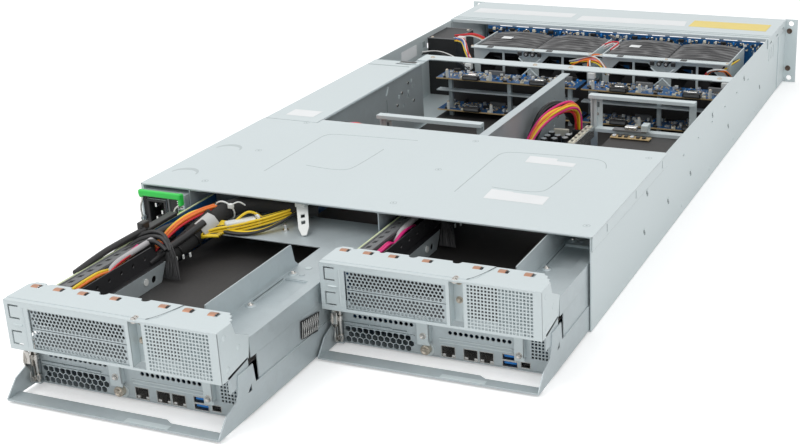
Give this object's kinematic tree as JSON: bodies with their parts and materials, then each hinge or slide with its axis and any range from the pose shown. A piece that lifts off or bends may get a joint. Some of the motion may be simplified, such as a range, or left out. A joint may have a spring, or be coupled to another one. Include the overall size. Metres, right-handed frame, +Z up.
{
  "type": "2u rack server",
  "caption": "Two-node 2U rack server with pull-out graphics trays, hot-swap power supplies, fans and front drives under partly open covers.",
  "frame": {"origin": "middle of the chassis floor's underside", "axes": "+Z up, +Y towards the rack front with the drives and ears, -Y towards the trays' I/O side, +X to the right seen from the rear"},
  "size_m": [0.4826, 1.117, 0.0875],
  "materials": {
    "shell": "satin pale grey",
    "sheet": "galvanised",
    "dark_sheet": "black",
    "film": "black film",
    "board": "blue circuit board",
    "black_plastic": "matt",
    "fan_plastic": "matt",
    "green_plastic": "smooth",
    "lime_plastic": "smooth",
    "stainless": "polished",
    "cable_sleeve": "braided"
  },
  "bodies": {
    "chassis": {"chassis_base": "shell", "rear_cover": "shell", "front_cover": "shell", "psu_tunnel_wall": "sheet", "psu_tunnel_cover": "shell", "centre_partition": "sheet", "mid_crossbar": "shell", "bridge_boards": "board", "bridge_shelves": "sheet", "backplane": "board", "fan_frame": "shell", "fan_housings": "fan_plastic", "power_distribution_box": "black_plastic", "drive_cage": "sheet", "left_ear": "shell", "right_ear": "shell"},
    "rotor_1": {"fan_rotor_1": "fan_plastic"},
    "rotor_2": {"fan_rotor_2": "fan_plastic"},
    "rotor_3": {"fan_rotor_3": "fan_plastic"},
    "rotor_4": {"fan_rotor_4": "fan_plastic"},
    "lower_psu": {"lower_psu_case": "sheet"},
    "lower_psu_bail": {"lower_psu_handle": "green_plastic"},
    "lower_psu_catch": {"lower_psu_latch": "lime_plastic"},
    "upper_psu": {"upper_psu_case": "sheet"},
    "upper_psu_bail": {"upper_psu_handle": "green_plastic"},
    "upper_psu_catch": {"upper_psu_latch": "lime_plastic"},
    "drive_1": {"drive_carrier_1": "dark_sheet"},
    "lever_1": {"drive_lever_1": "black_plastic"},
    "drive_2": {"drive_carrier_2": "dark_sheet"},
    "lever_2": {"drive_lever_2": "black_plastic"},
    "drive_3": {"drive_carrier_3": "dark_sheet"},
    "lever_3": {"drive_lever_3": "black_plastic"},
    "drive_4": {"drive_carrier_4": "dark_sheet"},
    "lever_4": {"drive_lever_4": "black_plastic"},
    "left_tray": {"left_tray_pan": "sheet", "left_gpu_bracket": "shell", "left_slot_covers": "sheet", "left_io_panel": "sheet", "left_io_ports": "stainless", "left_gpu_deck": "film", "left_card_supports": "sheet", "left_riser_card": "board", "left_motherboard": "board", "left_front_frame": "shell", "left_cable_trunk": "cable_sleeve"},
    "left_latch": {"left_release_latch": "stainless"},
    "left_screw": {"left_thumb_screw": "stainless"},
    "right_tray": {"right_tray_pan": "sheet", "right_gpu_bracket": "shell", "right_slot_covers": "sheet", "right_io_panel": "sheet", "right_io_ports": "stainless", "right_gpu_deck": "film", "right_card_supports": "sheet", "right_riser_card": "board", "right_motherboard": "board", "right_front_frame": "shell", "right_cable_trunk": "cable_sleeve"},
    "right_latch": {"right_release_latch": "stainless"},
    "right_screw": {"right_thumb_screw": "stainless"}
  },
  "joints": [
    {"name": "fan_1_spin", "type": "hinge", "parent": "chassis", "child": "rotor_1", "pos_m": [-0.098, 0.1902, 0.0415], "axis": [0, 1, 0], "continuous": true},
    {"name": "fan_2_spin", "type": "hinge", "parent": "chassis", "child": "rotor_2", "pos_m": [-0.016, 0.1902, 0.0415], "axis": [0, 1, 0], "continuous": true},
    {"name": "fan_3_spin", "type": "hinge", "parent": "chassis", "child": "rotor_3", "pos_m": [0.079, 0.1902, 0.0415], "axis": [0, 1, 0], "continuous": true},
    {"name": "fan_4_spin", "type": "hinge", "parent": "chassis", "child": "rotor_4", "pos_m": [0.161, 0.1902, 0.0415], "axis": [0, 1, 0], "continuous": true},
    {"name": "lower_psu_slide", "type": "slide", "parent": "chassis", "child": "lower_psu", "axis": [0, -1, 0], "range_m": [0, 0.25]},
    {"name": "lower_psu_handle_pivot", "type": "hinge", "parent": "lower_psu", "child": "lower_psu_bail", "pos_m": [-0.1974, -0.4343, 0.0156], "axis": [1, 0, 0], "range_deg": [0, 90]},
    {"name": "lower_psu_latch_press", "type": "slide", "parent": "lower_psu", "child": "lower_psu_catch", "axis": [-1, 0, 0], "range_m": [0, 0.003], "stiffness_N_per_m": 300},
    {"name": "upper_psu_slide", "type": "slide", "parent": "chassis", "child": "upper_psu", "axis": [0, -1, 0], "range_m": [0, 0.25]},
    {"name": "upper_psu_handle_pivot", "type": "hinge", "parent": "upper_psu", "child": "upper_psu_bail", "pos_m": [-0.1974, -0.4343, 0.056], "axis": [1, 0, 0], "range_deg": [0, 90]},
    {"name": "upper_psu_latch_press", "type": "slide", "parent": "upper_psu", "child": "upper_psu_catch", "axis": [-1, 0, 0], "range_m": [0, 0.003], "stiffness_N_per_m": 300},
    {"name": "drive_1_slide", "type": "slide", "parent": "chassis", "child": "drive_1", "axis": [0, 1, 0], "range_m": [0, 0.11]},
    {"name": "drive_1_lever_pivot", "type": "hinge", "parent": "drive_1", "child": "lever_1", "pos_m": [-0.189, 0.4235, 0.0121], "axis": [0, 0, 1], "range_deg": [0, 60]},
    {"name": "drive_2_slide", "type": "slide", "parent": "chassis", "child": "drive_2", "axis": [0, 1, 0], "range_m": [0, 0.11]},
    {"name": "drive_2_lever_pivot", "type": "hinge", "parent": "drive_2", "child": "lever_2", "pos_m": [-0.083, 0.4235, 0.0121], "axis": [0, 0, 1], "range_deg": [0, 60]},
    {"name": "drive_3_slide", "type": "slide", "parent": "chassis", "child": "drive_3", "axis": [0, 1, 0], "range_m": [0, 0.11]},
    {"name": "drive_3_lever_pivot", "type": "hinge", "parent": "drive_3", "child": "lever_3", "pos_m": [0.023, 0.4235, 0.0121], "axis": [0, 0, 1], "range_deg": [0, 60]},
    {"name": "drive_4_slide", "type": "slide", "parent": "chassis", "child": "drive_4", "axis": [0, 1, 0], "range_m": [0, 0.11]},
    {"name": "drive_4_lever_pivot", "type": "hinge", "parent": "drive_4", "child": "lever_4", "pos_m": [0.129, 0.4235, 0.0121], "axis": [0, 0, 1], "range_deg": [0, 60]},
    {"name": "left_tray_slide", "type": "slide", "parent": "chassis", "child": "left_tray", "axis": [0, -1, 0], "range_m": [-0.255, 0.2]},
    {"name": "left_latch_turn", "type": "hinge", "parent": "left_tray", "child": "left_latch", "pos_m": [-0.1643, -0.661, 0.022], "axis": [0, 0, 1], "range_deg": [0, 20], "stiffness_Nm_per_rad": 0.02},
    {"name": "left_screw_turn", "type": "hinge", "parent": "left_tray", "child": "left_screw", "pos_m": [-0.0863, -0.657, 0.0085], "axis": [0, 1, 0], "continuous": true},
    {"name": "right_tray_slide", "type": "slide", "parent": "chassis", "child": "right_tray", "axis": [0, -1, 0], "range_m": [-0.1115, 0.3435]},
    {"name": "right_latch_turn", "type": "hinge", "parent": "right_tray", "child": "right_latch", "pos_m": [0.0331, -0.5175, 0.022], "axis": [0, 0, 1], "range_deg": [0, 20], "stiffness_Nm_per_rad": 0.02},
    {"name": "right_screw_turn", "type": "hinge", "parent": "right_tray", "child": "right_screw", "pos_m": [0.1111, -0.5135, 0.0085], "axis": [0, 1, 0], "continuous": true}
  ]
}
